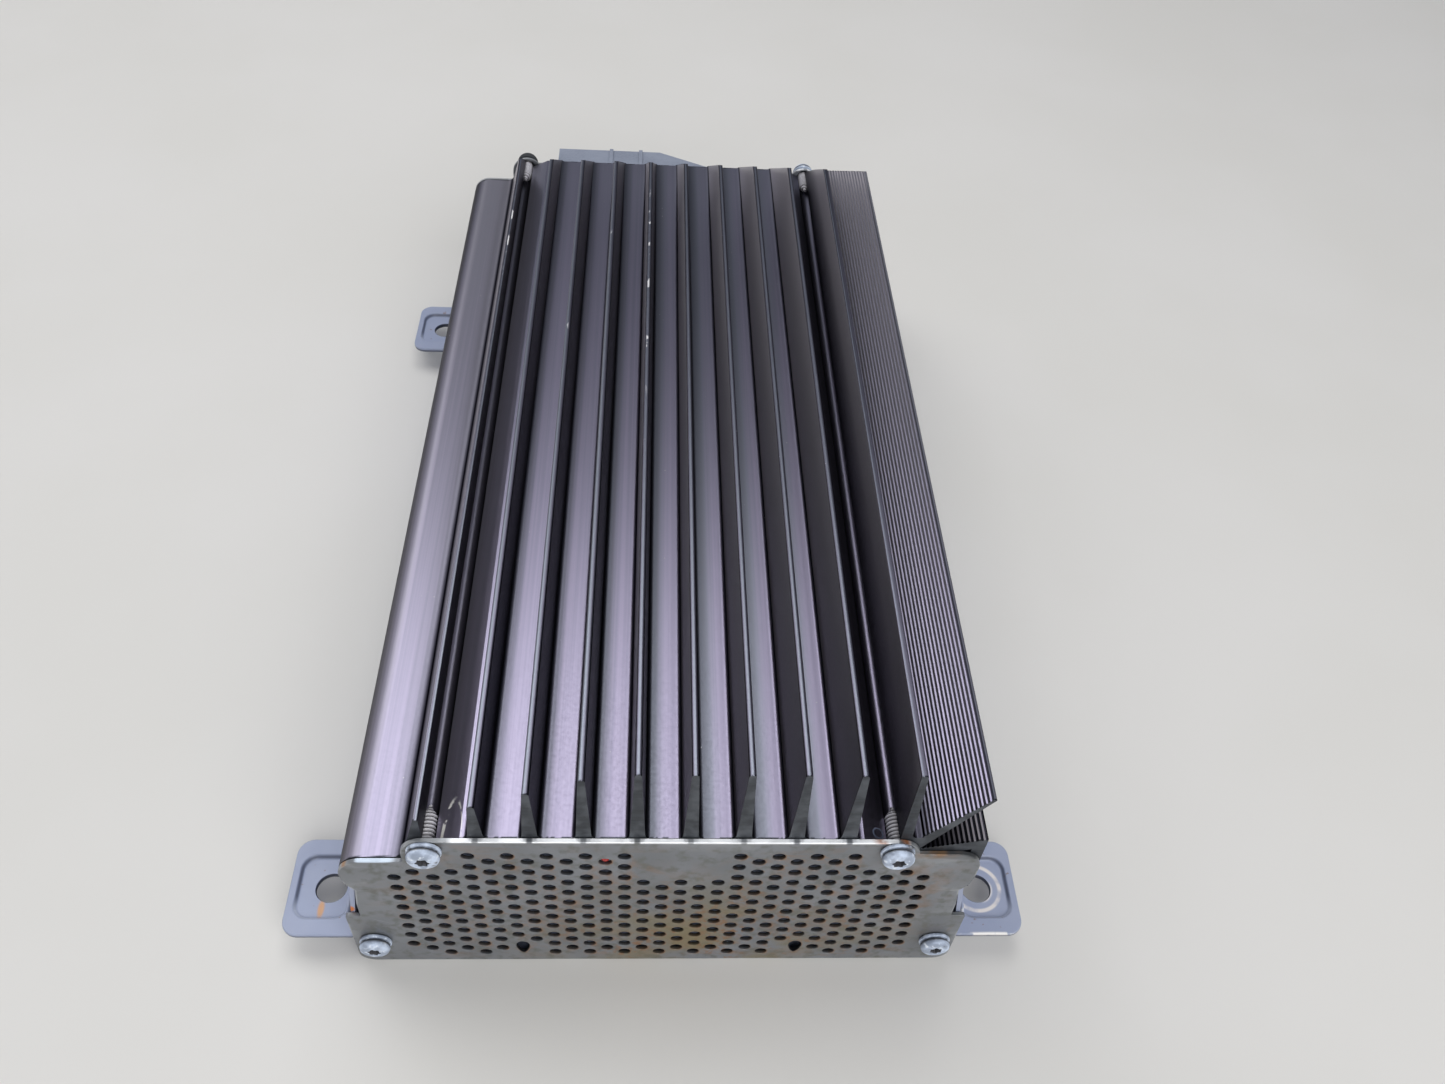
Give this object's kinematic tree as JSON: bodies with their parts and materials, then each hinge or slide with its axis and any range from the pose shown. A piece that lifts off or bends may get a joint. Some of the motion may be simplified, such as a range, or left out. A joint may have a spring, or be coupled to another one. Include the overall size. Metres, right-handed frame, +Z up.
{
  "type": "car amplifier",
  "caption": "Car audio amplifier: finned black heatsink lid with a splayed fluted wing, perforated steel end plate, folded tray, pressed bolt ears and a rear harness connector.",
  "frame": {"origin": "centre of the tray's flat underside", "axes": "+Z up through the fins, +Y from the perforated front plate to the rear connector along the extrusion, +X to the wing side"},
  "size_m": [0.1884, 0.3104, 0.087],
  "materials": {
    "black_anodised": "black anodised extrusion, satin, lavender sky sheen",
    "blue_grey_paint": "blue-grey painted pressed sheet steel, semi-gloss, worn edges",
    "zinc_steel": "dull zinc-plated sheet steel, grey-green, rust round the holes",
    "screw_zinc": "zinc-plated, white corrosion",
    "bare_aluminium": "bare machined",
    "circuit_board": "green solder mask",
    "moulded_black": "moulded, matt",
    "moulded_grey": "moulded blue-grey, matt",
    "red_lens": "moulded red resin, clear gloss",
    "thermal_pad": "soft grey pad",
    "ferrite": "sintered, matt",
    "copper_winding": "enamelled copper wire, satin",
    "tinned_brass": "tinned"
  },
  "bodies": {
    "root": {"board_pillar_1": "bare_aluminium", "board_pillar_2": "bare_aluminium", "board_pillar_3": "bare_aluminium", "board_pillar_4": "bare_aluminium", "board_screw_1": "screw_zinc", "board_screw_2": "screw_zinc", "board_screw_3": "screw_zinc", "board_screw_4": "screw_zinc", "chassis_tray": "blue_grey_paint", "clamp_screw_1": "screw_zinc", "clamp_screw_2": "screw_zinc", "connector_contact_1": "tinned_brass", "connector_contact_2": "tinned_brass", "connector_contact_3": "tinned_brass", "connector_contact_4": "tinned_brass", "connector_contact_5": "tinned_brass", "connector_contact_6": "tinned_brass", "connector_housing": "moulded_grey", "device_clamp": "zinc_steel", "end_screw_front_bottom_left": "screw_zinc", "end_screw_front_bottom_right": "screw_zinc", "end_screw_front_top_left": "screw_zinc", "end_screw_front_top_right": "screw_zinc", "end_screw_rear_bottom_left": "screw_zinc", "end_screw_rear_bottom_right": "screw_zinc", "end_screw_rear_top_left": "screw_zinc", "end_screw_rear_top_right": "screw_zinc", "end_washer_front_bottom_left": "screw_zinc", "end_washer_front_bottom_right": "screw_zinc", "end_washer_front_top_left": "screw_zinc", "end_washer_front_top_right": "screw_zinc", "end_washer_rear_bottom_left": "screw_zinc", "end_washer_rear_bottom_right": "screw_zinc", "end_washer_rear_top_left": "screw_zinc", "end_washer_rear_top_right": "screw_zinc", "front_end_plate": "zinc_steel", "heat_spreader": "bare_aluminium", "heatsink": "black_anodised", "indicator_lamp": "red_lens", "input_choke": "copper_winding", "main_board": "circuit_board", "mounting_ear_front_left": "blue_grey_paint", "mounting_ear_front_right": "blue_grey_paint", "mounting_ear_rear_left": "blue_grey_paint", "mounting_ear_rear_right": "blue_grey_paint", "output_device_1": "moulded_black", "output_device_2": "moulded_black", "output_device_3": "moulded_black", "output_device_4": "moulded_black", "rear_end_plate": "zinc_steel", "reservoir_can_1": "moulded_black", "reservoir_can_2": "moulded_black", "reservoir_can_3": "moulded_black", "spreader_screw_1": "screw_zinc", "spreader_screw_2": "screw_zinc", "thermal_pad": "thermal_pad", "transformer_core": "ferrite", "transformer_winding": "copper_winding"}
  },
  "joints": []
}
